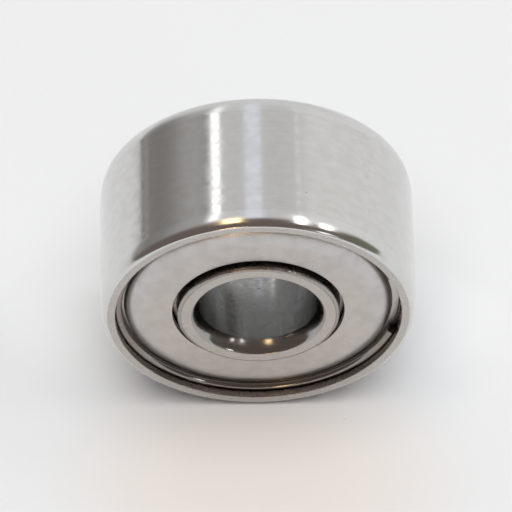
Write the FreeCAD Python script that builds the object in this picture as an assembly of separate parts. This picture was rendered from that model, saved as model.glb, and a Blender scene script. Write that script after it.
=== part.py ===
import FreeCAD, Part
import math
import os

# A miniature deep-groove ball bearing with a metal shield and a snap ring on each side.
# The origin is the centre of the bearing. The bearing's axis is Y, with the front at -Y, and +Z is up,
# so the bearing stands on its rim. "Depth" is measured inwards from the plane of a side face.

# Boundary sizes, in millimetres
bore_diameter = 3.0
outside_diameter = 8.0
width = 4.0

# Corners of the rings: longer along the axis than across it
outer_corner_radial = 0.17
outer_corner_axial = 0.44
bore_corner_radial = 0.21
bore_corner_axial = 0.35
bore_corner_angle = 20.0  # degrees between the bore and the corner, where they meet
land_corner_radial = 0.1
land_corner_axial = 0.08
edge_break = 0.03

# Rings and raceways
inner_wall = 0.44  # from the bore to the bottom of the inner raceway
outer_wall = 0.54  # from the bottom of the outer raceway to the outside
shoulder_height = 0.25  # each raceway's depth below its shoulders
raceway_conformity = 0.53  # raceway radius over ball diameter
ball_gap = 0.01  # between a ball and the bottom of either raceway

# Balls and cage
ball_count = 7
cage_thickness = 0.15
cage_side_gap = 0.2  # between the cage and the shoulder of either ring
pocket_gap = 0.03  # between a ball and its pocket
tab_width = 0.2
tab_thickness = 0.08
tab_reach = 0.3
tab_gap = 0.02

# Lip, snap ring and shield seat at each side of the outer ring
lip_face = 0.2  # flat face of the lip, between the corner and the mouth
lip_thickness = 0.19
wire_diameter = 0.25
wire_showing = 0.175  # how far the wire stands inside the lip
wire_gap = 0.01
ring_opening_from = -18.0  # degrees above the horizontal, on the +X side
ring_opening_to = 20.0

# Shields
shield_thickness = 0.15
shield_recess = 0.16  # depth of the shield's flat below the ring faces
shield_rim = 0.165  # width of the flat rim under the snap ring
shield_crease = 0.03  # inside radius where the dome meets the rim
shield_dome = 0.565  # how far across the dome falls away, from the flat to its foot
shield_gap = 0.12  # between a shield and the inner ring, across and along the axis
seat_gap = 0.02  # between a shield and its seat
land_step = 0.13  # the inner ring's land under a shield, below its shoulder

# Worked out from the sizes above
bore_radius = bore_diameter / 2
outside_radius = outside_diameter / 2
side = width / 2
ball_diameter = outside_radius - bore_radius - inner_wall - outer_wall - 2 * ball_gap
ball_radius = ball_diameter / 2
raceway_radius = raceway_conformity * ball_diameter
inner_raceway = bore_radius + inner_wall
outer_raceway = outside_radius - outer_wall
inner_shoulder = inner_raceway + shoulder_height
outer_shoulder = outer_raceway - shoulder_height
pitch_radius = inner_raceway + ball_gap + ball_radius
land_radius = inner_shoulder - land_step
lip_radius = outside_radius - outer_corner_radial - lip_face
wire_centre = lip_radius - wire_showing + wire_diameter / 2
groove_radius = wire_centre + wire_diameter / 2 + wire_gap
wire_depth = lip_thickness + wire_gap + wire_diameter / 2
rim_depth = wire_depth + wire_diameter / 2 + wire_gap
seat_depth = rim_depth + shield_thickness
shield_outer = lip_radius - seat_gap - edge_break
seat_radius = shield_outer + seat_gap
shield_bore = land_radius + shield_gap
land_depth = shield_recess + shield_thickness + shield_gap

centre = FreeCAD.Vector(0, 0, 0)
axis = FreeCAD.Vector(0, 1, 0)
up_from_x = FreeCAD.Vector(0, -1, 0)  # turns +X towards +Z


def at(radius, along):
    """A point of a turned profile, at a radius and a place along the axis."""
    return FreeCAD.Vector(radius, along, 0)


def rounded(start, corner, end):
    """Part of an ellipse, tangent at its ends to the lines that meet at the corner."""
    turn = (corner - start).getAngle(end - corner)
    curve = Part.BezierCurve()
    curve.setPoles([start, corner, end])
    curve.setWeight(2, math.cos(turn / 2))
    return curve.toShape()


def chain(start, *steps):
    """Edges from start: straight to each point, and round the corner for a (corner, point) pair."""
    edges = []
    here = start
    for step in steps:
        if isinstance(step, tuple):
            corner, there = step
            edges.append(rounded(here, corner, there))
        else:
            there = step
            edges.append(Part.LineSegment(here, there).toShape())
        here = there
    return edges


def mirrored(shapes):
    """The same shapes on the other side of the middle plane."""
    return [shape.mirror(centre, axis) for shape in shapes]


def turned(edges):
    """The solid that a closed profile sweeps round the axis."""
    profile = Part.Face(Part.Wire(Part.__sortEdges__(edges)))
    return profile.revolve(centre, axis, 360)


def band(inner, outer, low, high):
    """A plain ring from low to high along the axis."""
    tube = Part.makeCylinder(outer, high - low, at(0, low), axis)
    hole = Part.makeCylinder(inner, high - low, at(0, low), axis)
    return tube.cut(hole)


def ball_angle(number):
    """Where a ball sits, in degrees from +X towards +Z. The first ball is at the top."""
    return 90 + 360 * number / ball_count


def around(shape, angle):
    """A copy of a shape made at +X, turned up to an angle about the axis."""
    copy = shape.copy()
    copy.rotate(centre, up_from_x, angle)
    return copy


def spheres(radius):
    """A sphere of the given radius at every ball's centre."""
    sphere = Part.makeSphere(radius, at(pitch_radius, 0))
    return [around(sphere, ball_angle(number)) for number in range(ball_count)]


def raceway(bottom, shoulder, curve_centre):
    """The raceway's arc from shoulder to shoulder, and half its width."""
    half_width = math.sqrt(raceway_radius**2 - (shoulder - curve_centre) ** 2)
    arc = Part.Arc(at(shoulder, half_width), at(bottom, 0), at(shoulder, -half_width))
    return arc.toShape(), half_width


def outer_ring():
    """The outer ring: raceway, shield seats, snap ring grooves, lips and rounded corners."""
    arc, half_width = raceway(outer_raceway, outer_shoulder, outer_raceway - raceway_radius)
    corner_start = outside_radius - outer_corner_radial
    corner_end = side - outer_corner_axial
    half = chain(
        at(outer_shoulder, half_width),
        at(outer_shoulder, side - seat_depth - edge_break),
        at(outer_shoulder + edge_break, side - seat_depth),
        at(seat_radius, side - seat_depth),
        at(seat_radius, side - rim_depth),
        at(groove_radius, side - rim_depth),
        at(groove_radius, side - lip_thickness),
        at(lip_radius, side - lip_thickness),
        at(lip_radius, side - edge_break),
        at(lip_radius + edge_break, side),
        at(corner_start, side),
        (at(outside_radius, side), at(outside_radius, corner_end)),
    )
    outside = chain(at(outside_radius, corner_end), at(outside_radius, -corner_end))
    return turned([arc] + half + mirrored(half) + outside)


def inner_ring():
    """The inner ring: bore, raceway, and a lower land under each shield."""
    arc, half_width = raceway(inner_raceway, inner_shoulder, inner_raceway + raceway_radius)
    bore_end = side - bore_corner_axial
    lean = bore_corner_axial * math.tan(math.radians(bore_corner_angle))
    half = chain(
        at(inner_shoulder, half_width),
        at(inner_shoulder, side - land_depth),
        at(land_radius, side - land_depth),
        at(land_radius, side - land_corner_axial),
        (at(land_radius, side), at(land_radius - land_corner_radial, side)),
        at(bore_radius + bore_corner_radial, side),
        (at(bore_radius + lean, side), at(bore_radius, bore_end)),
    )
    bore = chain(at(bore_radius, bore_end), at(bore_radius, -bore_end))
    return turned([arc] + half + mirrored(half) + bore)


def rear_shield():
    """A domed sheet-metal shield: a flat that falls away down to a rim, and the rim on its seat."""
    flat = side - shield_recess
    rim = side - rim_depth
    crease = shield_crease
    below = shield_thickness
    foot = shield_outer - shield_rim - crease
    inside = foot - below
    shoulder = foot - shield_dome
    profile = chain(
        at(shield_bore, flat - below),
        at(shield_bore, flat - edge_break),
        at(shield_bore + edge_break, flat),
        at(shoulder, flat),
        (at(foot, flat), at(foot, rim + crease)),
        (at(foot, rim), at(foot + crease, rim)),
        at(shield_outer, rim),
        at(shield_outer, rim - below),
        at(foot + crease, rim - below),
        (at(inside, rim - below), at(inside, rim + crease)),
        (at(inside, flat - below), at(shoulder, flat - below)),
        at(shield_bore, flat - below),
    )
    return turned(profile)


def rear_snap_ring():
    """A round wire bent to an open ring, held in the groove behind the lip."""
    along = side - wire_depth
    circle = Part.Circle(at(wire_centre, along), FreeCAD.Vector(0, 0, 1), wire_diameter / 2)
    section = Part.Face(Part.Wire(circle.toShape()))
    sweep = 360 - (ring_opening_to - ring_opening_from)
    return around(section.revolve(centre, up_from_x, sweep), ring_opening_to)


def rear_cage():
    """The rear half of the cage: flat webs, and a pressed cup over each ball."""
    inner = inner_shoulder + cage_side_gap
    outer = outer_shoulder - cage_side_gap
    cup_radius = ball_radius + pocket_gap + cage_thickness
    web = band(inner, outer, 0, cage_thickness)
    cups = [ball.common(band(inner, outer, 0, cup_radius)) for ball in spheres(cup_radius)]
    return web.multiFuse(cups).cut(spheres(ball_radius + pocket_gap))


def clinch_tab(spare):
    """A tab at +X, from the rear half's outer edge over the front half's web, larger by spare."""
    outer = outer_shoulder - cage_side_gap
    tangential = tab_width + 2 * spare
    front = -cage_thickness - tab_thickness

    def block(reach, low, high):
        corner = FreeCAD.Vector(outer - reach, low, -tangential / 2)
        return Part.makeBox(reach + spare, high - low, tangential, corner)

    through = block(tab_thickness + spare, front, cage_thickness)
    folded = block(tab_reach, front, -cage_thickness)
    return through.fuse(folded).removeSplitter()


def cage_halves():
    """Both cage halves. The rear half's tabs pass notches in the front half and fold over it."""
    rear = rear_cage()
    front = rear.mirror(centre, axis)
    webs = [ball_angle(number + 0.5) for number in range(ball_count)]
    front = front.cut([around(clinch_tab(tab_gap), angle) for angle in webs])
    rear = rear.multiFuse([around(clinch_tab(0), angle) for angle in webs])
    return front, rear


def build():
    """Every piece by its name."""
    shield = rear_shield()
    snap_ring = rear_snap_ring()
    cage_front, cage_rear = cage_halves()
    pieces = {
        "outer_ring": outer_ring(),
        "inner_ring": inner_ring(),
        "shield_front": shield.mirror(centre, axis),
        "shield_rear": shield,
        "snap_ring_front": snap_ring.mirror(centre, axis),
        "snap_ring_rear": snap_ring,
        "cage_front": cage_front,
        "cage_rear": cage_rear,
    }
    for number, ball in enumerate(spheres(ball_radius), start=1):
        pieces[f"ball_{number}"] = ball
    return pieces


os.makedirs("parts", exist_ok=True)
for name, shape in build().items():
    solids = shape.Solids
    print(name, len(solids), "solid", round(shape.Volume, 4), "mm3", "valid", shape.isValid())
    shape.exportStep(f"parts/{name}.step")
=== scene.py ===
"""A miniature shielded ball bearing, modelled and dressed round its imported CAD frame.

The bearing stands on its rim. Its axis is Y, its front is at -Y and +Z is up. Sizes are written in millimetres and
turned into metres where a mesh is made.
"""

import logging
import math
from dataclasses import dataclass, field
from enum import Enum

import bmesh
import bpy
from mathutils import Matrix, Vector


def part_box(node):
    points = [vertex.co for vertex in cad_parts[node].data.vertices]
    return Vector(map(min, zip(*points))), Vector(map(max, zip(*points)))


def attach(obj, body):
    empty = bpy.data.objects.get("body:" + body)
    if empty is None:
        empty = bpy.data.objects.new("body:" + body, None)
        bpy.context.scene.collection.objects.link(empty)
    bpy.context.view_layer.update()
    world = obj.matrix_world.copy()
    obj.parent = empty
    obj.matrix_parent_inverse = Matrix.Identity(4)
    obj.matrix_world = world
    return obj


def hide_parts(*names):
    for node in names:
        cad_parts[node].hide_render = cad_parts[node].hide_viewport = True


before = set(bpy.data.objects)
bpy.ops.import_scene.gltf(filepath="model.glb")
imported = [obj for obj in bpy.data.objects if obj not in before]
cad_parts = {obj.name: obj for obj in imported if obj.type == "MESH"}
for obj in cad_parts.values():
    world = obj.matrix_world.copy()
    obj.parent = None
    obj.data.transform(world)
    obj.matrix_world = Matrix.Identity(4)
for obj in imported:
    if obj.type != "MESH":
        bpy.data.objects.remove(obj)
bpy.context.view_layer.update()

LOG = logging.getLogger("bearing")
MM = 0.001
TURN = 2 * math.pi

CLOUD_DETAIL = 4.0
PIT_DETAIL = 2.0
SPECK_LEAST = 0.4  # the smallest speck, as a share of the usual size
SPECK_CORE = 0.6  # how far out a speck is solid, before it fades
WELD = 0.0005 * MM
RING_STEPS, WIRE_STEPS = 340, 40
BALL_SUBDIVISIONS = 6
APART = 0.001  # keeps two rounds on one side of a section from meeting in a point

Colour = tuple[float, float, float]
Socket = bpy.types.NodeSocket


class Side(Enum):
    """A side of the bearing, and the sign of its place along the axis."""

    FRONT = -1
    REAR = 1


class Zone(Enum):
    """A stretch of a turned part that has a finish of its own."""

    OUTSIDE = "outside"
    CORNER = "corner"
    BORE_CORNER = "bore_corner"
    FACE = "face"
    BORE = "bore"
    RECESS = "recess"
    RACEWAY = "raceway"


# ---- Node trees ----


class Desk:
    """Adds nodes to one tree and wires them."""

    def __init__(self, tree: bpy.types.NodeTree) -> None:
        """Starts work on a tree.

        Args:
            tree: the shader or geometry tree that the nodes go into.
        """
        self.tree = tree

    def add(self, kind: str, inputs: dict[object, object] | None = None, **settings: object) -> bpy.types.Node:
        """Adds a node.

        Args:
            kind: the node's type name.
            inputs: the values of its inputs, by their names or numbers.
            settings: the node's own properties.

        Returns:
            The new node.
        """
        node = self.tree.nodes.new(kind)
        for name, value in settings.items():
            setattr(node, name, value)
        for key, value in (inputs or {}).items():
            self.feed(node.inputs[key], value)
        return node

    def feed(self, socket: Socket, value: object) -> None:
        """Gives an input its value: a link from another socket, or a constant.

        Args:
            socket: the input.
            value: an output socket, a number, a colour or a vector.
        """
        if isinstance(value, Socket):
            self.tree.links.new(value, socket)
        elif socket.type == "RGBA" and len(value) == 3:
            socket.default_value = (*value, 1.0)
        else:
            socket.default_value = value

    def place(self) -> Socket:
        """Reads where the shaded point is on its object.

        Returns:
            The place's socket.
        """
        return self.add("ShaderNodeTexCoord").outputs["Object"]

    def split(self, vector: Socket) -> list[Socket]:
        """Splits a vector.

        Args:
            vector: what is split.

        Returns:
            The sockets of its three parts.
        """
        return list(self.add("ShaderNodeSeparateXYZ", {0: vector}).outputs)

    def join(self, *parts: object) -> Socket:
        """Makes a vector from its parts.

        Args:
            parts: up to three sockets or numbers; a part that isn't given is 0.

        Returns:
            The vector's socket.
        """
        return self.add("ShaderNodeCombineXYZ", dict(enumerate(parts))).outputs[0]

    def math(self, operation: str, *values: object, clamp: bool = False) -> Socket:
        """Adds a Math node.

        Args:
            operation: the node's operation.
            values: its inputs, as sockets or numbers.
            clamp: whether the result is kept between 0 and 1.

        Returns:
            The node's output.
        """
        return self.add("ShaderNodeMath", dict(enumerate(values)), operation=operation, use_clamp=clamp).outputs[0]

    def ramp(self, value: Socket, low: object, high: object, start: object = 0.0, end: object = 1.0) -> Socket:
        """Turns a value from low to high into start to end, smoothly.

        Args:
            value: what is read.
            low: the value that gives start.
            high: the value that gives end.
            start: the result at and below low.
            end: the result at and above high.

        Returns:
            The result's socket.
        """
        inputs = dict(enumerate((value, low, high, start, end)))
        return self.add("ShaderNodeMapRange", inputs, interpolation_type="SMOOTHSTEP").outputs[0]

    def mix(self, share: object, first: object, second: object, how: str = "MIX") -> Socket:
        """Mixes two colours.

        Args:
            share: how much of the second shows.
            first: the colour below.
            second: the colour above.
            how: the blend type.

        Returns:
            The mixed colour's socket.
        """
        inputs = {0: share, 6: first, 7: second}
        return self.add("ShaderNodeMix", inputs, data_type="RGBA", blend_type=how).outputs[2]

    def group(self, tree: bpy.types.NodeTree, **values: object) -> bpy.types.Node:
        """Places a shared group.

        Args:
            tree: the group's tree.
            values: the group's inputs by name, with _ for a space.

        Returns:
            The group's node.
        """
        inputs = {name.replace("_", " "): value for name, value in values.items()}
        return self.add("ShaderNodeGroup", inputs, node_tree=tree)


def shader_group(name: str, inputs: dict[str, float], outputs: dict[str, str]) -> tuple[Desk, object, object]:
    """Starts a shared shader group.

    Args:
        name: the group's name.
        inputs: its number inputs and their usual values.
        outputs: its outputs and their socket types.

    Returns:
        The desk for its tree, its input node and its output node.
    """
    tree = bpy.data.node_groups.new(name, "ShaderNodeTree")
    for label, value in inputs.items():
        socket = tree.interface.new_socket(name=label, in_out="INPUT", socket_type="NodeSocketFloat")
        socket.default_value = value
    for label, kind in outputs.items():
        tree.interface.new_socket(name=label, in_out="OUTPUT", socket_type=kind)
    desk = Desk(tree)
    return desk, desk.add("NodeGroupInput"), desk.add("NodeGroupOutput")


def tool_line_group() -> bpy.types.NodeTree:
    """Builds the group that draws the fine lines that turning and grinding leave round the axis.

    Returns:
        The group's tree.
    """
    desk, given, result = shader_group(
        "tool_lines",
        {"Spacing": 0.05 * MM, "Run": 5.0, "Detail": 2.0},
        {"Height": "NodeSocketFloat"},
    )
    across, along, up = desk.split(desk.place())
    flat = desk.math("ADD", desk.math("MULTIPLY", across, across), desk.math("MULTIPLY", up, up))
    radius = desk.math("MAXIMUM", desk.math("SQRT", flat), 0.001 * MM)
    spacing, run = given.outputs["Spacing"], given.outputs["Run"]
    outwards, along = (desk.math("DIVIDE", part, spacing) for part in (radius, along))
    round_x, round_z = (desk.math("MULTIPLY", desk.math("DIVIDE", part, radius), run) for part in (across, up))
    inputs = {
        "Vector": desk.join(outwards, along, round_x), "W": round_z, "Scale": 1.0, "Detail": given.outputs["Detail"],
    }
    noise = desk.add("ShaderNodeTexNoise", inputs, noise_dimensions="4D")
    desk.feed(result.inputs["Height"], noise.outputs[0])
    return desk.tree


def clouding_group() -> bpy.types.NodeTree:
    """Builds the group that draws soft, slightly darker and lighter patches.

    Returns:
        The group's tree.
    """
    desk, given, result = shader_group(
        "clouding",
        {"Patch": 0.5 * MM, "Contrast": 0.25, "Drawn Out": 1.0},
        {"Mask": "NodeSocketFloat"},
    )
    stretch = desk.join(1.0, given.outputs["Drawn Out"], 1.0)
    shaped = desk.add("ShaderNodeVectorMath", {0: desk.place(), 1: stretch}, operation="MULTIPLY").outputs[0]
    inputs = {"Vector": shaped, "Scale": desk.math("DIVIDE", 1.0, given.outputs["Patch"]), "Detail": CLOUD_DETAIL}
    noise = desk.add("ShaderNodeTexNoise", inputs, noise_dimensions="3D")
    low = desk.math("SUBTRACT", 0.5, given.outputs["Contrast"])
    high = desk.math("ADD", 0.5, given.outputs["Contrast"])
    desk.feed(result.inputs["Mask"], desk.ramp(noise.outputs[0], low, high))
    return desk.tree


def speck_group() -> bpy.types.NodeTree:
    """Builds the group that scatters tiny specks of dust.

    Returns:
        The group's tree.
    """
    desk, given, result = shader_group(
        "specks",
        {"Spread": 0.4 * MM, "Share": 0.2, "Speck": 0.06},
        {"Mask": "NodeSocketFloat"},
    )
    inputs = {"Vector": desk.place(), "Scale": desk.math("DIVIDE", 1.0, given.outputs["Spread"])}
    cells = desk.add("ShaderNodeTexVoronoi", inputs, voronoi_dimensions="3D", feature="F1")
    pick = desk.add("ShaderNodeSeparateColor", {0: cells.outputs["Color"]})
    picked = desk.math("LESS_THAN", pick.outputs[0], given.outputs["Share"])
    size = desk.math("MULTIPLY", given.outputs["Speck"], desk.math("ADD", pick.outputs[1], SPECK_LEAST))
    dot = desk.ramp(cells.outputs["Distance"], desk.math("MULTIPLY", size, SPECK_CORE), size, 1.0, 0.0)
    desk.feed(result.inputs["Mask"], desk.math("MULTIPLY", dot, picked))
    return desk.tree


def panel_group() -> bpy.types.NodeTree:
    """Builds the group that masks one soft-edged panel of the studio's walls.

    Returns:
        The group's tree.
    """
    desk, given, result = shader_group(
        "soft_panel",
        {"Angle": 0.0, "Reach": 0.0, "Start": 0.0, "End": 0.0, "Edge": 1.0, "Front": -1.0, "Back": 1.0, "Fade": 0.1},
        {"Mask": "NodeSocketFloat"},
    )
    sockets = given.outputs
    masks = []
    for what, low, high, soft in (("Angle", "Start", "End", "Edge"), ("Reach", "Front", "Back", "Fade")):
        half = desk.math("MULTIPLY", sockets[soft], 0.5)
        for limit, before, after in ((low, 0.0, 1.0), (high, 1.0, 0.0)):
            start = desk.math("SUBTRACT", sockets[limit], half)
            end = desk.math("ADD", sockets[limit], half)
            masks.append(desk.ramp(sockets[what], start, end, before, after))
    across = desk.math("MULTIPLY", masks[0], masks[1])
    along = desk.math("MULTIPLY", masks[2], masks[3])
    desk.feed(result.inputs["Mask"], desk.math("MULTIPLY", across, along))
    return desk.tree


# ---- Finishes ----


@dataclass(frozen=True)
class Groups:
    """The shared effects that the finishes use."""

    tool_lines: bpy.types.NodeTree
    clouding: bpy.types.NodeTree
    specks: bpy.types.NodeTree


def new_material(name: str) -> tuple[bpy.types.Material, Desk, bpy.types.Node]:
    """Starts a material.

    Args:
        name: the material's name.

    Returns:
        The material, the desk for its tree and its shader.
    """
    material = bpy.data.materials.new(name)
    material.use_nodes = True
    return material, Desk(material.node_tree), material.node_tree.nodes["Principled BSDF"]


@dataclass(frozen=True)
class MetalFinish:
    """A bare metal surface: its colour, its gloss, the lines its making left, and its wear."""

    name: str
    colour: Colour
    stain: Colour
    roughness: float
    stain_share: float = 0.3
    patch: float = 0.5
    drawn_out: float = 1.0
    roughness_spread: float = 0.05
    line_spacing: float = 0.09
    line_run: float = 5.0
    line_depth: float = 0.0002
    line_shade: float = 0.1
    pit_size: float = 0.03
    pit_depth: float = 0.00005
    edge_colour: Colour = (0.74, 0.73, 0.71)
    edge_wear: float = 0.5
    least_wear: float = 0.6
    dust: float = 0.06
    dust_colour: Colour = (0.16, 0.14, 0.12)
    dust_cover: float = 0.55
    dust_roughness: float = 0.3

    def dress(self, groups: Groups) -> bpy.types.Material:
        """Makes the material.

        Args:
            groups: the shared effects.

        Returns:
            The material.
        """
        material, desk, shader = new_material(self.name)
        lines = desk.group(groups.tool_lines, Spacing=self.line_spacing * MM, Run=self.line_run).outputs[0]
        cloud = desk.group(groups.clouding, Patch=self.patch * MM, Drawn_Out=self.drawn_out).outputs[0]
        specks = desk.group(groups.specks, Share=self.dust).outputs[0]
        edge = desk.add("ShaderNodeAttribute", attribute_name="edge").outputs["Fac"]
        worn = desk.math("MULTIPLY", edge, desk.ramp(cloud, 0.0, 1.0, self.least_wear * self.edge_wear, self.edge_wear))

        stained = desk.mix(desk.math("MULTIPLY", cloud, self.stain_share), self.colour, self.stain)
        lined = desk.mix(desk.math("MULTIPLY", lines, self.line_shade), stained, self.stain, "MULTIPLY")
        bright = desk.mix(worn, lined, self.edge_colour)
        dusty = desk.mix(desk.math("MULTIPLY", specks, self.dust_cover), bright, self.dust_colour)
        desk.feed(shader.inputs["Base Color"], dusty)

        spread = self.roughness_spread
        rough = desk.ramp(cloud, 0.0, 1.0, self.roughness - spread, self.roughness + spread)
        rough = desk.math("ADD", rough, desk.math("MULTIPLY", specks, self.dust_roughness), clamp=True)
        desk.feed(shader.inputs["Roughness"], rough)

        inputs = {"Vector": desk.place(), "Scale": 1.0 / (self.pit_size * MM), "Detail": PIT_DETAIL}
        pits = desk.add("ShaderNodeTexNoise", inputs, noise_dimensions="3D")
        normal = None
        for height, depth in ((lines, self.line_depth), (pits.outputs[0], self.pit_depth)):
            bump = desk.add("ShaderNodeBump", {"Distance": depth * MM, "Height": height})
            if normal is not None:
                desk.feed(bump.inputs["Normal"], normal)
            normal = bump.outputs[0]
        desk.feed(shader.inputs["Normal"], normal)
        shader.inputs["Metallic"].default_value = 1.0
        return material


@dataclass(frozen=True)
class FloorFinish:
    """A pale sheet of card with light and shade painted on it: painted shade greys it towards its left edge, a painted
    pool of light lightens it beside the bearing, and a painted warm shadow darkens and warms it in front of the
    bearing.
    """

    name: str = "pale_card"
    colour: Colour = (0.541, 0.558, 0.576)
    # painted shade: the colour the card greys to towards its left edge, in place of the overhead light falling off
    painted_falloff_shade_colour: Colour = (0.39, 0.395, 0.40)
    # painted light: a paler colour that lightens the bearing's shadow on the card beside it
    painted_lift_colour: Colour = (0.66, 0.68, 0.70)
    # painted shadow: a warmer, slightly darker colour for the bearing's shadow in front of it and the warm light the
    # steel throws onto it
    painted_warm_shadow_colour: Colour = (0.545, 0.522, 0.510)
    near: float = -12.0
    far: float = -95.0
    light_patch: tuple[float, float, float] = (7.0, 3.2, 0.5)
    warm_patch: tuple[float, float, float] = (6.0, 4.5, -4.5)
    cloud_patch: float = 6.0
    cloud_colour: Colour = (0.5, 0.49, 0.48)
    cloud_share: float = 0.03
    speck_spread: float = 2.2
    speck_share: float = 0.05
    speck_size: float = 0.02
    speck_colour: Colour = (0.3, 0.285, 0.27)
    speck_cover: float = 0.25
    roughness: tuple[float, float] = (0.82, 0.9)
    specular: float = 0.1

    def patch(self, desk: Desk, across: Socket, along: Socket, wide: float, deep: float, centre: float) -> Socket:
        """Masks a soft oval of the card.

        Args:
            desk: the desk of the card's material.
            across: where, along X.
            along: where, along Y.
            wide: half the oval's size along X, in millimetres.
            deep: half its size along Y, in millimetres.
            centre: its middle's place along Y, in millimetres.

        Returns:
            The mask's socket: 1 at the middle and 0 at the rim.
        """
        aside = desk.math("DIVIDE", across, wide * MM)
        ahead = desk.math("DIVIDE", desk.math("SUBTRACT", along, centre * MM), deep * MM)
        apart = desk.math("ADD", desk.math("MULTIPLY", ahead, ahead), desk.math("MULTIPLY", aside, aside))
        return desk.ramp(apart, 0.0, 1.0, 1.0, 0.0)

    def dress(self, groups: Groups) -> bpy.types.Material:
        """Makes the material.

        Args:
            groups: the shared effects.

        Returns:
            The material.
        """
        material, desk, shader = new_material(self.name)
        across, along, _ = desk.split(desk.place())
        # painted light: a soft oval beside the bearing where its shadow on the card is lightened
        painted_lift_mask = self.patch(desk, across, along, *self.light_patch)
        # painted shadow: a soft oval in front of the bearing, darkened and warmed as its shadow and bounced light
        ahead = self.patch(desk, across, along, *self.warm_patch)
        # painted shade: greys the card towards its left edge, standing in for the light falling off there
        shade = desk.ramp(across, self.far * MM, self.near * MM, 1.0, 0.0)
        cloud = desk.group(groups.clouding, Patch=self.cloud_patch * MM).outputs[0]
        specks = desk.group(
            groups.specks, Spread=self.speck_spread * MM, Share=self.speck_share, Speck=self.speck_size
        ).outputs[0]
        card = desk.mix(shade, self.colour, self.painted_falloff_shade_colour)
        card = desk.mix(painted_lift_mask, card, self.painted_lift_colour)
        card = desk.mix(ahead, card, self.painted_warm_shadow_colour)
        card = desk.mix(desk.math("MULTIPLY", cloud, self.cloud_share), card, self.cloud_colour)
        card = desk.mix(desk.math("MULTIPLY", specks, self.speck_cover), card, self.speck_colour)
        desk.feed(shader.inputs["Base Color"], card)
        desk.feed(shader.inputs["Roughness"], desk.ramp(cloud, 0.0, 1.0, *self.roughness))
        shader.inputs["Specular IOR Level"].default_value = self.specular
        return material


RING_FINISHES: dict[Zone, MetalFinish] = {
    Zone.OUTSIDE: MetalFinish(
        name="ring_outside_ground", colour=(0.70, 0.695, 0.685), stain=(0.58, 0.57, 0.55), roughness=0.13,
        stain_share=0.45, roughness_spread=0.045, line_depth=0.00025, line_shade=0.16, patch=0.35, drawn_out=1.6,
        dust=0.03,
    ),
    Zone.CORNER: MetalFinish(
        name="ring_corner_turned", colour=(0.71, 0.71, 0.705), stain=(0.61, 0.60, 0.585), roughness=0.17,
        roughness_spread=0.03, line_spacing=0.05, line_depth=0.0002, patch=0.4, edge_wear=0.0, dust=0.03,
    ),
    Zone.BORE_CORNER: MetalFinish(
        name="ring_bore_corner_turned", colour=(0.42, 0.415, 0.40), stain=(0.31, 0.30, 0.285), roughness=0.18,
        roughness_spread=0.03, line_spacing=0.05, line_depth=0.0002, patch=0.3, edge_wear=0.25, dust=0.03,
    ),
    Zone.FACE: MetalFinish(
        name="ring_face_ground", colour=(0.55, 0.54, 0.525), stain=(0.47, 0.455, 0.435), roughness=0.3,
        line_spacing=0.06, line_depth=0.00005, patch=0.3, pit_depth=0.00001, edge_wear=0.3, dust=0.01,
    ),
    Zone.BORE: MetalFinish(
        name="ring_bore_ground", colour=(0.48, 0.48, 0.475), stain=(0.33, 0.33, 0.325), roughness=0.22,
        stain_share=0.5, line_spacing=0.05, line_run=9.0, line_depth=0.0005, line_shade=0.4, patch=0.12,
        pit_size=0.04, pit_depth=0.0002, edge_wear=0.25, dust=0.10,
    ),
    # painted shade: the recess zone's dark colour darkens the lip's inside, the groove, the seat and the shoulders for
    # the shade that falls between the rings
    Zone.RECESS: MetalFinish(
        name="ring_recess_turned", colour=(0.33, 0.30, 0.28), stain=(0.22, 0.19, 0.175), roughness=0.3,
        line_spacing=0.06, line_depth=0.0001, patch=0.2, pit_depth=0.00002, edge_wear=0.35,
    ),
    Zone.RACEWAY: MetalFinish(
        name="ring_raceway_lapped", colour=(0.68, 0.67, 0.66), stain=(0.60, 0.585, 0.57), roughness=0.08,
        roughness_spread=0.02, line_spacing=0.03, line_depth=0.00005, dust=0.0,
    ),
}
SHIELD_FINISH = MetalFinish(
    name="shield_pressed_sheet", colour=(0.605, 0.592, 0.582), stain=(0.50, 0.485, 0.472), roughness=0.34,
    stain_share=0.5, patch=0.28, roughness_spread=0.05, line_spacing=0.3, line_run=2.0, line_depth=0.0004,
    line_shade=0.05, pit_size=0.035, pit_depth=0.0003, edge_wear=0.35, dust=0.06,
)
WIRE_FINISH = MetalFinish(
    name="snap_ring_drawn_wire", colour=(0.33, 0.315, 0.30), stain=(0.22, 0.20, 0.185), roughness=0.14,
    patch=0.25, line_spacing=0.03, line_run=2.0, line_depth=0.0003, dust=0.04,
)
CAGE_FINISH = MetalFinish(
    name="cage_pressed_strip", colour=(0.55, 0.51, 0.46), stain=(0.42, 0.37, 0.32), roughness=0.36,
    patch=0.3, line_spacing=0.05, line_depth=0.0003, dust=0.02,
)
BALL_FINISH = MetalFinish(
    name="ball_lapped", colour=(0.70, 0.695, 0.685), stain=(0.63, 0.62, 0.61), roughness=0.06,
    stain_share=0.2, roughness_spread=0.02, line_depth=0.00002, line_shade=0.03, pit_depth=0.00001, dust=0.0,
)


# ---- Turned profiles ----


@dataclass(frozen=True)
class Corner:
    """A corner of a turned part's section, and how it is rounded.

    radius and along are where the sides would meet. before and after are how far the round reaches along the side that
    comes in and the side that goes out. zone is the surface from here to the next corner, and round_zone the round's.
    """

    radius: float
    along: float
    before: float = 0.012
    after: float | None = None
    zone: Zone = Zone.RECESS
    round_zone: Zone | None = None
    steps: int = 4
    is_edge: bool = True

    def mirrored(self, zone: Zone) -> "Corner":
        """The same corner beyond the middle plane, walked the other way, with the zone that then follows."""
        after = self.before if self.after is None else self.after
        return Corner(self.radius, -self.along, after, self.before, zone, self.round_zone, self.steps, self.is_edge)


@dataclass(frozen=True)
class Station:
    """A point of a finished section, with its outward direction and what it is part of."""

    place: Vector
    outward: Vector
    zone: Zone
    edge: float


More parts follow.
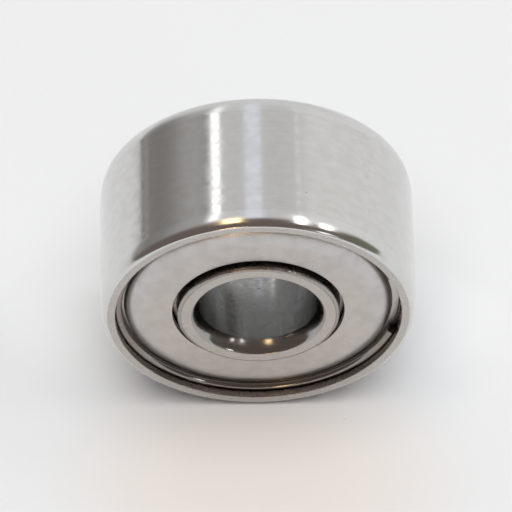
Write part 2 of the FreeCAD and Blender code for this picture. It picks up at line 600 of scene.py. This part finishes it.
def both_sides(rear: list[Corner]) -> list[Corner]:
    """Completes a section that is the same on both sides.

    Args:
        rear: the rear half's corners, from the raceway round to the far side.

    Returns:
        The corners of the whole section: the mirrored half first, walked towards the raceway, then the rear half.
    """
    front = [corner.mirrored(before.zone) for before, corner in zip(rear, rear[1:])]
    return list(reversed(front)) + [rear[0].mirrored(Zone.RACEWAY)] + rear


def section(corners: list[Corner]) -> list[Station]:
    """Rounds a closed section's corners.

    Args:
        corners: the corners in order, in either direction.

    Returns:
        The section's stations in order, so that the part's material lies on their left.
    """
    places = [Vector((corner.radius, corner.along)) for corner in corners]
    area = sum(a.x * b.y - b.x * a.y for a, b in zip(places, places[1:] + places[:1]))
    turn = 1.0 if area > 0 else -1.0
    stations = []
    for number, corner in enumerate(corners):
        here = places[number]
        came = (here - places[number - 1]).normalized()
        goes = (places[(number + 1) % len(places)] - here).normalized()
        weight = math.sqrt(max(0.0, (1 + came.dot(goes)) / 2))
        after = corner.before if corner.after is None else corner.after
        start, end = here - came * corner.before, here + goes * after
        for step in range(corner.steps + 1):
            t = step / corner.steps
            share = (1 - t) ** 2, 2 * weight * t * (1 - t), t * t
            slope = -2 * (1 - t), 2 * weight * (1 - 2 * t), 2 * t
            poles = start, here, end
            place = sum((a * pole for a, pole in zip(share, poles)), Vector((0, 0))) / sum(share)
            down = sum((a * pole for a, pole in zip(slope, poles)), Vector((0, 0))) - place * sum(slope)
            down = down.normalized()
            inside = step < corner.steps
            zone = corner.round_zone if inside and corner.round_zone else corner.zone
            worn = math.sin(math.pi * t) if corner.is_edge else 0.0
            stations.append(Station(place, Vector((down.y, -down.x)) * turn, zone, worn))
    return stations if turn > 0 else flipped(stations)


def flipped(stations: list[Station]) -> list[Station]:
    """Walks a section the other way, so that each station names the surface that now follows it.

    Args:
        stations: the stations in order.

    Returns:
        The stations in the other order.
    """
    backwards = list(reversed(stations))
    following = backwards[1:] + backwards[:1]
    return [Station(s.place, s.outward, after.zone, s.edge) for s, after in zip(backwards, following)]


def new_object(name: str, mesh: bpy.types.Mesh) -> bpy.types.Object:
    """Puts a mesh into the scene as an object at the origin."""
    piece = bpy.data.objects.new(name, mesh)
    bpy.context.scene.collection.objects.link(piece)
    return piece


def turned_part(
    name: str, corners: list[Corner], materials: dict[Zone, bpy.types.Material], facets: int = 384
) -> bpy.types.Object:
    """Turns a closed section round the bearing's axis.

    Args:
        name: the piece's name.
        corners: the section's corners, in millimetres.
        materials: the finish of each zone that the section uses.
        facets: how many steps go round.

    Returns:
        The piece.
    """
    stations = section(corners)
    zones = list(materials)
    count = len(stations)
    places, normals, edges, faces, finishes = [], [], [], [], []
    for step in range(facets):
        angle = TURN * step / facets
        cosine, sine = math.cos(angle), math.sin(angle)
        for s in stations:
            places.append((s.place.x * cosine * MM, s.place.y * MM, s.place.x * sine * MM))
            normals.append((s.outward.x * cosine, s.outward.y, s.outward.x * sine))
            edges.append(s.edge)
        here, there = step * count, (step + 1) % facets * count
        for number, s in enumerate(stations):
            after = (number + 1) % count
            faces.append((here + number, here + after, there + after, there + number))
            finishes.append(zones.index(s.zone))
    mesh = bpy.data.meshes.new(name)
    mesh.from_pydata(places, [], faces)
    mesh.polygons.foreach_set("material_index", finishes)
    mesh.shade_smooth()
    mesh.attributes.new("edge", "FLOAT", "POINT").data.foreach_set("value", edges)
    for material in materials.values():
        mesh.materials.append(material)
    mesh.normals_split_custom_set_from_vertices(normals)
    mesh.validate()
    return new_object(name, mesh)


# ---- Geometry Nodes ----


class PieceTree:
    """A Geometry Nodes tree with named inputs that ends in Realize Instances and Set Material."""

    def __init__(self, name: str, inputs: dict[str, tuple[str, object]]) -> None:
        """Starts the tree.

        Args:
            name: the tree's name.
            inputs: each input's socket type and usual value.
        """
        self.tree = bpy.data.node_groups.new(name, "GeometryNodeTree")
        self.tree.is_modifier = True
        for way in ("INPUT", "OUTPUT"):
            self.tree.interface.new_socket(name="Geometry", in_out=way, socket_type="NodeSocketGeometry")
        for label, (kind, value) in inputs.items():
            socket = self.tree.interface.new_socket(name=label, in_out="INPUT", socket_type=kind)
            if value is not None:
                socket.default_value = value
        self.desk = Desk(self.tree)
        self.given = self.desk.add("NodeGroupInput").outputs

    def end(self, geometry: Socket) -> None:
        """Closes the tree: realizes what it made, shades it smooth and gives it its material.

        Args:
            geometry: the made geometry.
        """
        steps = (
            ("GeometryNodeRealizeInstances", {}),
            ("GeometryNodeMergeByDistance", {"Distance": WELD}),
            ("GeometryNodeSetShadeSmooth", {}),
            ("GeometryNodeSetMaterial", {"Material": self.given["Material"]}),
            ("NodeGroupOutput", {}),
        )
        for kind, inputs in steps:
            node = self.desk.add(kind, {0: geometry, **inputs})
            geometry = node.outputs[0] if node.outputs else None

    def make(self, name: str, start: bpy.types.Mesh | None = None, **values: object) -> bpy.types.Object:
        """Runs the tree and keeps its result as a plain mesh.

        Args:
            name: the piece's name.
            start: the mesh that the tree starts from, where it has one.
            values: the tree's inputs by name, with _ for a space.

        Returns:
            The piece.
        """
        blank = new_object(name + "_blank", start or bpy.data.meshes.new(name + "_blank"))
        modifier = blank.modifiers.new("make", "NODES")
        modifier.node_group = self.tree
        for item in self.tree.interface.items_tree:
            key = item.name.replace(" ", "_")
            if item.in_out == "INPUT" and key in values:
                modifier[item.identifier] = values[key]
        ready = blank.evaluated_get(bpy.context.evaluated_depsgraph_get())
        mesh = bpy.data.meshes.new_from_object(ready)
        mesh.name = name
        bpy.data.objects.remove(blank)
        return new_object(name, mesh)


def wire_ring_tree() -> PieceTree:
    """Builds the tree that bends a round wire to an open ring.

    Returns:
        The tree.
    """
    made = PieceTree(
        "open_wire_ring",
        {
            "Ring Radius": ("NodeSocketFloat", 3.58 * MM),
            "Wire Radius": ("NodeSocketFloat", 0.125 * MM),
            "Opening End": ("NodeSocketFloat", 0.0),
            "Sweep": ("NodeSocketFloat", TURN),
            "Along": ("NodeSocketFloat", 0.0),
            "Material": ("NodeSocketMaterial", None),
        },
    )
    desk, given = made.desk, made.given
    bend = {"Radius": given["Ring Radius"], "Start Angle": given["Opening End"], "Sweep Angle": given["Sweep"]}
    line = desk.add("GeometryNodeCurveArc", {"Resolution": RING_STEPS, **bend}, mode="RADIUS")
    round_wire = {"Resolution": WIRE_STEPS, "Radius": given["Wire Radius"]}
    circle = desk.add("GeometryNodeCurvePrimitiveCircle", round_wire, mode="RADIUS")
    swept = {"Curve": line.outputs["Curve"], "Profile Curve": circle.outputs["Curve"], "Fill Caps": True}
    wire = desk.add("GeometryNodeCurveToMesh", swept).outputs[0]
    upright = {"Translation": desk.join(0.0, given["Along"]), "Rotation": (math.pi / 2, 0.0, 0.0)}
    made.end(desk.add("GeometryNodeTransform", {"Geometry": wire, **upright}).outputs[0])
    return made


def ball_tree() -> PieceTree:
    """Builds the tree that makes one ball at its place on the pitch circle.

    Returns:
        The tree.
    """
    made = PieceTree(
        "ball_on_pitch_circle",
        {
            "Ball Radius": ("NodeSocketFloat", 0.75 * MM),
            "Pitch Radius": ("NodeSocketFloat", 2.7 * MM),
            "Angle": ("NodeSocketFloat", 0.0),
            "Material": ("NodeSocketMaterial", None),
        },
    )
    desk, given = made.desk, made.given
    sphere = {"Radius": given["Ball Radius"], "Subdivisions": BALL_SUBDIVISIONS}
    ball = desk.add("GeometryNodeMeshIcoSphere", sphere).outputs[0]
    shares = (desk.math(operation, given["Angle"]) for operation in ("COSINE", "SINE"))
    x, z = (desk.math("MULTIPLY", share, given["Pitch Radius"]) for share in shares)
    made.end(desk.add("GeometryNodeTransform", {"Geometry": ball, "Translation": desk.join(x, 0.0, z)}).outputs[0])
    return made


def pitch_tree() -> PieceTree:
    """Builds the tree that repeats one pitch of the cage round the axis.

    Returns:
        The tree.
    """
    made = PieceTree(
        "pitches_round_axis",
        {
            "Count": ("NodeSocketInt", 7),
            "First Angle": ("NodeSocketFloat", 0.0),
            "Material": ("NodeSocketMaterial", None),
        },
    )
    desk, given = made.desk, made.given
    points = desk.add("GeometryNodePoints", {"Count": given["Count"]}).outputs[0]
    step = desk.math("DIVIDE", TURN, given["Count"])
    angle = desk.math("MULTIPLY", desk.add("GeometryNodeInputIndex").outputs[0], step)
    turned = desk.math("MULTIPLY", desk.math("ADD", angle, given["First Angle"]), -1.0)
    inputs = {"Points": points, "Instance": given["Geometry"], "Rotation": desk.join(0.0, turned)}
    made.end(desk.add("GeometryNodeInstanceOnPoints", inputs).outputs[0])
    return made


# ---- The bearing's parts ----


def hand_over(piece: bpy.types.Object, node: str, body: str) -> None:
    """Gives a finished piece to the frame in place of its CAD node, and reports it.

    Args:
        piece: the finished piece.
        node: the CAD node that it stands for.
        body: the CAD body that it rides on.
    """
    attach(piece, body)
    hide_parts(node)
    LOG.info("%s: %d faces, on %s, in place of %s", piece.name, len(piece.data.polygons), body, node)


def reach_of(node: str) -> tuple[float, float, float]:
    """Measures a CAD node.

    Args:
        node: the node's name.

    Returns:
        Its outer radius about the axis, and its lowest and highest place along the axis, in millimetres.
    """
    low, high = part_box(node)
    return max(high.x, -low.x, high.z, -low.z) / MM, low.y / MM, high.y / MM


@dataclass
class Rings:
    """The two hardened rings that the balls run between, in millimetres."""

    bore: float = 1.5
    outer_corner_across: float = 0.17
    outer_corner_along: float = 0.44
    bore_corner_across: float = 0.21
    bore_corner_along: float = 0.35
    bore_edge_angle: float = 20.0
    land_corner_across: float = 0.1
    land_corner_along: float = 0.08
    edge_round: float = 0.016
    raceway_edge: float = 0.006
    raceway_blend: float = 0.007
    groove_round: float = 0.03
    step_round: float = 0.02
    bore_blend: float = 0.01
    lip_face: float = 0.2
    lip_thickness: float = 0.19
    groove: float = 3.715
    groove_end: float = 0.46
    seat: float = 3.6
    seat_end: float = 0.61
    outer_shoulder: float = 3.21
    land: float = 2.06
    land_end: float = 0.43
    raceway_half: float = 0.5788
    raceway_radius: float = 0.795
    materials: dict[Zone, bpy.types.Material] = field(default_factory=dict)

    def raceway(self, shoulder: float, outwards: int) -> Corner:
        """The raceway as one deep round between its shoulders.

        Args:
            shoulder: the shoulders' radius.
            outwards: 1 where the raceway is cut outwards, into the outer ring, and -1 where it is cut inwards.

        Returns:
            The corner at which the raceway's end tangents meet.
        """
        slope = math.asin(self.raceway_half / self.raceway_radius)
        reach = self.raceway_radius * math.tan(slope)
        corner = shoulder + outwards * reach * math.sin(slope)
        reach -= self.raceway_blend
        return Corner(corner, 0.0, reach, zone=Zone.RACEWAY, round_zone=Zone.RACEWAY, steps=24, is_edge=False)

    def outer_section(self, outside: float, side: float) -> list[Corner]:
        """The outer ring's section.

        Args:
            outside: the ring's outer radius.
            side: half its width.

        Returns:
            Its corners.
        """
        lip = outside - self.outer_corner_across - self.lip_face
        rear = [
            Corner(self.outer_shoulder, self.raceway_half, self.raceway_edge),
            Corner(self.outer_shoulder, side - self.seat_end, self.groove_round),
            Corner(self.seat, side - self.seat_end),
            Corner(self.seat, side - self.groove_end),
            Corner(self.groove, side - self.groove_end, self.groove_round, is_edge=False),
            Corner(self.groove, side - self.lip_thickness, self.groove_round, is_edge=False),
            Corner(lip, side - self.lip_thickness, self.step_round),
            Corner(lip, side, self.edge_round, zone=Zone.FACE, steps=6),
            Corner(
                outside, side, self.outer_corner_across, self.outer_corner_along, Zone.OUTSIDE, Zone.CORNER, 20, False
            ),
        ]
        return self.closed(rear, self.raceway(self.outer_shoulder, 1))

    def inner_section(self, shoulder: float, side: float) -> list[Corner]:
        """The inner ring's section.

        Args:
            shoulder: the radius of its shoulders.
            side: half its width.

        Returns:
            Its corners.
        """
        lean = math.radians(self.bore_edge_angle)
        slant = self.bore_corner_along / math.cos(lean)
        corner = self.bore + slant * math.sin(lean)
        face_reach = self.bore + self.bore_corner_across - corner
        bore_reach = slant - 2 * self.bore_blend
        rear = [
            Corner(shoulder, self.raceway_half, self.raceway_edge),
            Corner(shoulder, side - self.land_end, self.step_round),
            Corner(self.land, side - self.land_end, self.step_round, is_edge=False),
            Corner(self.land, side, self.land_corner_along, self.land_corner_across, Zone.FACE, steps=10),
            Corner(corner, side, face_reach, bore_reach, Zone.BORE_CORNER, Zone.BORE_CORNER, 16, False),
            Corner(self.bore, side - self.bore_corner_along, self.bore_blend, zone=Zone.BORE, steps=3),
        ]
        return self.closed(rear, self.raceway(shoulder, -1))

    def closed(self, rear: list[Corner], raceway: Corner) -> list[Corner]:
        """Mirrors half a ring's section and joins the halves through the raceway.

        Args:
            rear: the rear half's corners, from the raceway's shoulder round to the far side.
            raceway: the raceway's corner.

        Returns:
            The whole section's corners.
        """
        corners = both_sides(rear)
        corners.insert(len(rear), raceway)
        return corners

    def make_outer(self) -> bpy.types.Object:
        """Turns the outer ring to the size of its CAD node."""
        outside, _, side = reach_of("outer_ring")
        zones = {zone: self.materials[zone] for zone in Zone if zone not in (Zone.BORE, Zone.BORE_CORNER)}
        return turned_part("OuterRing", self.outer_section(outside, side), zones, 512)

    def make_inner(self) -> bpy.types.Object:
        """Turns the inner ring to the size of its CAD node."""
        shoulder, _, side = reach_of("inner_ring")
        zones = {zone: self.materials[zone] for zone in Zone if zone not in (Zone.OUTSIDE, Zone.CORNER)}
        return turned_part("InnerRing", self.inner_section(shoulder, side), zones)


@dataclass
class Shield:
    """A domed sheet-metal shield: a flat that falls away down to a rim on its seat."""

    side: Side
    material: bpy.types.Material
    bore: float = 2.18
    sheet: float = 0.15
    flat_rise: float = 0.3
    rim: float = 0.165
    crease: float = 0.03
    dome: float = 0.565
    bore_rounds: tuple[float, float] = (0.015, 0.018)
    rim_round: float = 0.02

    def make(self) -> bpy.types.Object:
        """Presses the shield to the size of its CAD node.

        Returns:
            The piece.
        """
        outer, low, high = reach_of(f"shield_{self.side.name.lower()}")
        flat = max(abs(low), abs(high))
        rim, below = flat - self.flat_rise, flat - self.sheet
        foot = outer - self.rim - self.crease
        inside, shoulder = foot - self.sheet, foot - self.dome
        fall = flat - rim - self.crease
        flat_to_rim = [
            Corner(self.bore, below, self.bore_rounds[0]),
            Corner(self.bore, flat, self.bore_rounds[1], steps=6),
            Corner(foot, flat, foot - shoulder, fall - APART, steps=40, is_edge=False),
            Corner(foot, rim, self.crease, steps=6, is_edge=False),
            Corner(outer, rim, self.rim_round),
            Corner(outer, rim - self.sheet, self.rim_round),
            Corner(inside, rim - self.sheet, self.crease + self.sheet, steps=12, is_edge=False),
            Corner(inside, below, fall - self.sheet - APART, inside - shoulder, steps=16, is_edge=False),
        ]
        corners = [
            Corner(c.radius, c.along * self.side.value, c.before, c.after, Zone.FACE, None, c.steps, c.is_edge)
            for c in flat_to_rim
        ]
        return turned_part(f"Shield{self.side.name.title()}", corners, {Zone.FACE: self.material})


@dataclass
class SnapRing:
    """An open ring of round spring wire, its opening given in degrees above the horizontal on the +X side."""

    side: Side
    material: bpy.types.Material
    opening_from: float = -18.0
    opening_to: float = 20.0
    end_round: float = 0.02
    end_steps: int = 4
    sharp_from: float = 40.0

    def make(self, tree: PieceTree) -> bpy.types.Object:
        """Bends the wire to the size of its CAD node and breaks the edges of its cut ends.

        Args:
            tree: the tree that bends an open ring.

        Returns:
            The piece.
        """
        outer, low, high = reach_of(f"snap_ring_{self.side.name.lower()}")
        wire = (high - low) / 2
        piece = tree.make(
            f"SnapRing{self.side.name.title()}",
            Ring_Radius=(outer - wire) * MM,
            Wire_Radius=wire * MM,
            Opening_End=math.radians(self.opening_to),
            Sweep=TURN - math.radians(self.opening_to - self.opening_from),
            Along=(low + high) / 2 * MM,
            Material=self.material,
        )
        shape = bmesh.new()
        shape.from_mesh(piece.data)
        ends = [face for face in shape.faces if len(face.verts) > 4]
        rims = [edge for face in ends for edge in face.edges]
        size = {"offset": self.end_round * MM, "segments": self.end_steps, "profile": 0.5}
        bmesh.ops.bevel(shape, geom=rims, affect="EDGES", **size)
        bmesh.ops.recalc_face_normals(shape, faces=shape.faces)
        shape.to_mesh(piece.data)
        shape.free()
        piece.data.set_sharp_from_angle(angle=math.radians(self.sharp_from))
        return piece


@dataclass
class Cage:
    """The two pressed halves of the ribbon cage: webs between cups, held together by folded tabs."""

    material: bpy.types.Material
    balls: int = 7
    inner: float = 2.39
    outer: float = 3.01
    pitch: float = 2.7
    strip: float = 0.15
    pocket: float = 0.78
    blend: float = 0.08
    tab_half_width: float = 0.1
    tab_thickness: float = 0.08
    tab_reach: float = 0.3
    tab_gap: float = 0.02
    root_lap: float = 0.02
    fold_round: float = 0.07
    tip_round: float = 0.02
    inside_round: float = 0.01
    rows: int = 8
    sharp_from: float = 35.0

    def half_pitch(self) -> float:
        """The angle from a web's middle to the next ball's."""
        return math.pi / self.balls

    def height(self, radius: float, angle: float) -> float:
        """How far the outside of the cup or web stands from the middle plane.

        Args:
            radius: where, from the axis.
            angle: where, from the middle of the web.

        Returns:
            The height, with a soft bend between cup and web.
        """
        away = self.half_pitch() - abs(angle)
        distance = radius**2 + self.pitch**2 - 2 * radius * self.pitch * math.cos(away)
        cup = math.sqrt(max(0.0, (self.pocket + self.strip) ** 2 - distance))
        near = max(self.blend - abs(cup - self.strip), 0.0) / self.blend
        return max(cup, self.strip) + near * near * self.blend / 4

    def hollow(self, radius: float, angle: float) -> float:
        """How far the inside of the cup stands from the middle plane: nothing, under a web."""
        away = self.half_pitch() - abs(angle)
        distance = radius**2 + self.pitch**2 - 2 * radius * self.pitch * math.cos(away)
        return math.sqrt(max(0.0, self.pocket**2 - distance))

    def pocket_edge(self, radius: float) -> float:
        """The angle from the web's middle at which the pocket starts."""
        cosine = (radius**2 + self.pitch**2 - self.pocket**2) / (2 * radius * self.pitch)
        return self.half_pitch() - math.acos(min(1.0, cosine))

    def angles(self, radius: float, steps: int = 12) -> list[float]:
        """The angles of one row, closer together where the pocket starts and at the notch's sides.

        Args:
            radius: the row's radius.
            steps: how many steps go from the pocket's edge to the ball's middle.

        Returns:
            The angles from one ball's middle to the next.
        """
        notch = (self.tab_half_width + self.tab_gap) / self.outer
        start = self.pocket_edge(radius)
        cup = [start + (self.half_pitch() - start) * step / steps for step in range(1, steps + 1)]
        right = [notch / 2, notch * 0.999, notch * 1.001, (notch + start) / 2, start * 0.99, start] + cup
        return [-angle for angle in reversed(right)] + [0.0] + right

    def strip_mesh(self, side: Side) -> bmesh.types.BMesh:
        """One pitch of a half of the cage, its web's middle at +X.

        Args:
            side: which half. The front half has a notch for the tab.

        Returns:
            The pitch's mesh, open where it meets the next pitch.
        """
        shape = bmesh.new()
        notch = (self.tab_half_width + self.tab_gap) / self.outer
        layers: dict[str, list[list[bmesh.types.BMVert]]] = {"out": [], "in": []}
        for row in range(self.rows + 1):
            plain = self.inner + (self.outer - self.inner) * row / self.rows
            outs, ins = [], []
            for angle in self.angles(plain):
                cut = side is Side.FRONT and abs(angle) < notch
                limit = self.outer - (self.tab_thickness + self.tab_gap if cut else 0.0)
                radius = self.inner + (limit - self.inner) * row / self.rows
                for layer, level in ((outs, self.height), (ins, self.hollow)):
                    along = side.value * level(radius, angle)
                    place = (radius * math.cos(angle), along, radius * math.sin(angle))
                    layer.append(shape.verts.new(Vector(place) * MM))
            layers["out"].append(outs)
            layers["in"].append(ins)
        for grid in layers.values():
            for one, two in zip(grid, grid[1:]):
                self.quads(shape, one, two)
        for row in (0, self.rows):
            self.quads(shape, layers["out"][row], layers["in"][row])
        return shape

    def quads(self, shape: bmesh.types.BMesh, one: list, two: list) -> None:
        """Fills between two rows of vertices."""
        for a, b, c, d in zip(one, one[1:], two[1:], two):
            shape.faces.new((a, b, c, d))

    def add_tab(self, shape: bmesh.types.BMesh) -> None:
        """Adds the tab that runs from the rear half's web through the notch and folds over the front half.

        Args:
            shape: the rear half's pitch.
        """
        out = self.outer + APART
        inside = self.outer - self.tab_thickness
        tip = self.outer - self.tab_reach
        root, web, fold = self.strip - self.root_lap, -self.strip, -self.strip - self.tab_thickness
        corners = [
            Corner(out, root),
            Corner(out, fold, self.fold_round, steps=6),
            Corner(tip, fold, self.tip_round),
            Corner(tip, web, self.tip_round),
            Corner(inside, web, self.inside_round),
            Corner(inside, root),
        ]
        rims = []
        for z in (-self.tab_half_width, self.tab_half_width):
            rims.append([shape.verts.new(Vector((s.place.x, s.place.y, z)) * MM) for s in section(corners)])
        self.quads(shape, rims[0] + rims[0][:1], rims[1] + rims[1][:1])
        for rim in rims:
            shape.faces.new(rim)

    def make(self, side: Side, tree: PieceTree) -> bpy.types.Object:
        """Presses one half of the cage.

        Args:
            side: which half.
            tree: the tree that repeats a pitch round the axis.

        Returns:
            The piece.
        """
        shape = self.strip_mesh(side)
        if side is Side.REAR:
            self.add_tab(shape)
        mesh = bpy.data.meshes.new("cage_pitch")
        shape.to_mesh(mesh)
        shape.free()
        first = math.pi / 2 + self.half_pitch()
        name = f"Cage{side.name.title()}"
        piece = tree.make(name, mesh, Count=self.balls, First_Angle=first, Material=self.material)
        whole = bmesh.new()
        whole.from_mesh(piece.data)
        bmesh.ops.recalc_face_normals(whole, faces=whole.faces)
        whole.to_mesh(piece.data)
        whole.free()
        piece.data.set_sharp_from_angle(angle=math.radians(self.sharp_from))
        return piece


@dataclass
class Balls:
    """The ring of lapped balls, the first at the top."""

    material: bpy.types.Material
    count: int = 7

    def make(self, number: int, tree: PieceTree) -> bpy.types.Object:
        """Makes one ball where its CAD node is.

        Args:
            number: the ball's number, from 1.
            tree: the tree that makes a ball on the pitch circle.

        Returns:
            The piece.
        """
        low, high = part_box(f"ball_{number}")
        centre = (low + high) / 2
        angle = math.pi / 2 + TURN * (number - 1) / self.count
        return tree.make(
            f"Ball{number}",
            Ball_Radius=(high.y - low.y) / 2,
            Pitch_Radius=math.hypot(centre.x, centre.z),
            Angle=angle,
            Material=self.material,
        )


# ---- The studio ----


@dataclass(frozen=True)
class Panel:
    """A soft-edged stretch of the studio round the bearing.

    start and end are degrees about the bearing's axis from straight up, towards +X. front and back are how far it
    reaches towards the rear, as the share of a direction that points along +Y. edge and fade are how soft its sides
    are.
    """

    name: str
    colour: Colour
    start: float = -200.0
    end: float = 200.0
    edge: float = 4.0
    front: float = -2.0
    back: float = 2.0
    fade: float = 0.1


def grey(level: float, warmth: float = 0.0) -> Colour:
    """A grey of that level, warmed or cooled a little."""
    return (level * (1 + warmth), level, level * (1 - warmth))


@dataclass(frozen=True)
class Studio:
    """The pale card that the bearing stands on, the walls and lamps round it, and the camera."""

    walls: Colour = grey(0.74)
    backdrop: Colour = (0.86, 0.86, 0.855)
    elevation: float = 54.38
    turn: float = 0.95
    distance: float = 151.98
    aim_right: float = -0.0624
    aim_up: float = 1.530
    lens: float = 421.9
    sensor: float = 36.0
    clip: tuple[float, float] = (0.01, 2.0)
    sun_energy: float = 3.1
    sun_angle: float = 50.0
    sun_tilt: float = 10.0
    card_left: float = -88.0
    card_far: float = 500.0
    panels: tuple[Panel, ...] = (
        Panel("right_wall", grey(0.86, 0.01), 36, 200, 14),
        Panel("overhead_cloth", grey(0.70), -27, 29, 3),
        Panel("cool_skylight", (0.92, 0.95, 1.02), -8.6, 3.6, 2),
        Panel("left_wall", grey(0.25, 0.04), -200, -36, 3),
        Panel("left_wall_foot", grey(0.37, 0.04), -90.5, -87.0, 2.5),
        Panel("left_wall_rise", grey(0.45, 0.02), -60, -36, 30),
        Panel("tall_window", grey(1.9), -33.2, -26.8, 1.6, front=0.22, fade=0.08),
        Panel("thin_light", grey(0.92), 29.5, 31.5, 2.0),
        Panel("front_room", (0.165, 0.132, 0.118), front=-2.0, back=0.12, fade=0.24),
        Panel("rear_wall", grey(0.80), front=0.80, fade=0.25),
        Panel("green_curtain", (0.17, 0.18, 0.13), 66, 96, 6, front=-0.4, back=0.2, fade=0.12),
        Panel("warm_lamp", (3.6, 2.7, 1.5), -23, -11.5, 2.5, front=-0.2, back=0.2, fade=0.12),
        Panel("near_lamp", grey(9.0, 0.04), 27.5, 31, 1.5, front=-0.15, back=0.36, fade=0.12),
        Panel("far_lamp", grey(8.0, 0.04), 44.5, 49, 2.0, front=-0.12, back=0.22, fade=0.12),
        Panel("front_window", grey(14.0), 55, 61, 3.0, front=-0.78, back=-0.71, fade=0.04),
        Panel("front_lamp", (14.0, 9.0, 4.0), -62, -42, 8.0, front=-0.99, back=-0.965, fade=0.015),
    )

    def build_world(self) -> None:
        """Lights the scene with the walls and panels, and shows the camera a plain pale backdrop."""
        world = bpy.data.worlds.new("studio")
        bpy.context.scene.world = world
        world.use_nodes = True
        desk = Desk(world.node_tree)
        background = world.node_tree.nodes["Background"]
        across, along, up = desk.split(desk.add("ShaderNodeTexCoord").outputs["Generated"])
        angle = desk.math("MULTIPLY", desk.math("ARCTAN2", across, up), 360 / TURN)
        tree = panel_group()
        colour = self.walls
        for panel in self.panels:
            sizes = {
                "Start": panel.start, "End": panel.end, "Edge": panel.edge,
                "Front": panel.front, "Back": panel.back, "Fade": panel.fade,
            }
            mask = desk.group(tree, Angle=angle, Reach=along, **sizes)
            mask.label = panel.name
            colour = desk.mix(mask.outputs[0], colour, panel.colour)
        seen = desk.add("ShaderNodeLightPath").outputs["Is Camera Ray"]
        desk.feed(background.inputs["Color"], desk.mix(seen, colour, self.backdrop))

    def build_card(self, groups: Groups) -> None:
        """Lays the card under the bearing.

        Args:
            groups: the shared effects.
        """
        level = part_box("outer_ring")[0].z
        left, far = self.card_left * MM, self.card_far * MM
        mesh = bpy.data.meshes.new("card")
        corners = [(left, -far), (far, -far), (far, far), (left, far)]
        mesh.from_pydata([(x, y, level) for x, y in corners], [], [(0, 1, 2, 3)])
        mesh.materials.append(FloorFinish().dress(groups))
        new_object("card", mesh)

    def build_lights(self) -> None:
        """Hangs the soft light that fills the card from above."""
        light = bpy.data.lights.new("overhead_fill", "SUN")
        light.energy = self.sun_energy
        light.angle = math.radians(self.sun_angle)
        lamp = bpy.data.objects.new("overhead_fill", light)
        lamp.rotation_euler = (math.radians(self.sun_tilt), 0.0, 0.0)
        lamp.visible_glossy = False
        bpy.context.scene.collection.objects.link(lamp)

    def build_camera(self) -> None:
        """Places the camera above and in front of the bearing, aimed past its front face's middle."""
        tilt, turn = math.radians(self.elevation), math.radians(self.turn)
        right = Vector((math.cos(turn), -math.sin(turn), 0.0))
        back = Vector((-math.sin(turn) * math.cos(tilt), -math.cos(turn) * math.cos(tilt), math.sin(tilt)))
        up = back.cross(right)
        front_face = Vector((0.0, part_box("outer_ring")[0].y, 0.0))
        aim = front_face + (right * self.aim_right + up * self.aim_up) * MM
        data = bpy.data.cameras.new("camera")
        data.lens = self.lens
        data.sensor_width = self.sensor
        data.clip_start, data.clip_end = self.clip
        camera = bpy.data.objects.new("camera", data)
        camera.location = aim + back * self.distance * MM
        camera.rotation_euler = back.to_track_quat("Z", "Y").to_euler()
        bpy.context.scene.collection.objects.link(camera)
        bpy.context.scene.camera = camera
        bpy.context.scene.view_settings.view_transform = "Standard"

    def build(self, groups: Groups) -> None:
        """Builds the whole studio.

        Args:
            groups: the shared effects.
        """
        self.build_camera()
        self.build_world()
        self.build_card(groups)
        self.build_lights()


def main() -> None:
    """Builds the studio and every piece, and hands each piece to the frame."""
    logging.basicConfig(level=logging.INFO, format="%(name)s: %(message)s")
    groups = Groups(tool_line_group(), clouding_group(), speck_group())
    Studio().build(groups)

    rings = Rings(materials={zone: finish.dress(groups) for zone, finish in RING_FINISHES.items()})
    hand_over(rings.make_outer(), "outer_ring", "housing_side")
    hand_over(rings.make_inner(), "inner_ring", "shaft_side")

    sheet, wire = SHIELD_FINISH.dress(groups), WIRE_FINISH.dress(groups)
    wire_tree = wire_ring_tree()
    for side in Side:
        where = side.name.lower()
        hand_over(Shield(side, sheet).make(), f"shield_{where}", "housing_side")
        hand_over(SnapRing(side, wire).make(wire_tree), f"snap_ring_{where}", "housing_side")

    cage, cage_tree = Cage(CAGE_FINISH.dress(groups)), pitch_tree()
    for side in Side:
        hand_over(cage.make(side, cage_tree), f"cage_{side.name.lower()}", "cage")

    balls, sphere_tree = Balls(BALL_FINISH.dress(groups)), ball_tree()
    for number in range(1, balls.count + 1):
        hand_over(balls.make(number, sphere_tree), f"ball_{number}", f"ball_body_{number}")


if __name__ == "__main__":
    main()
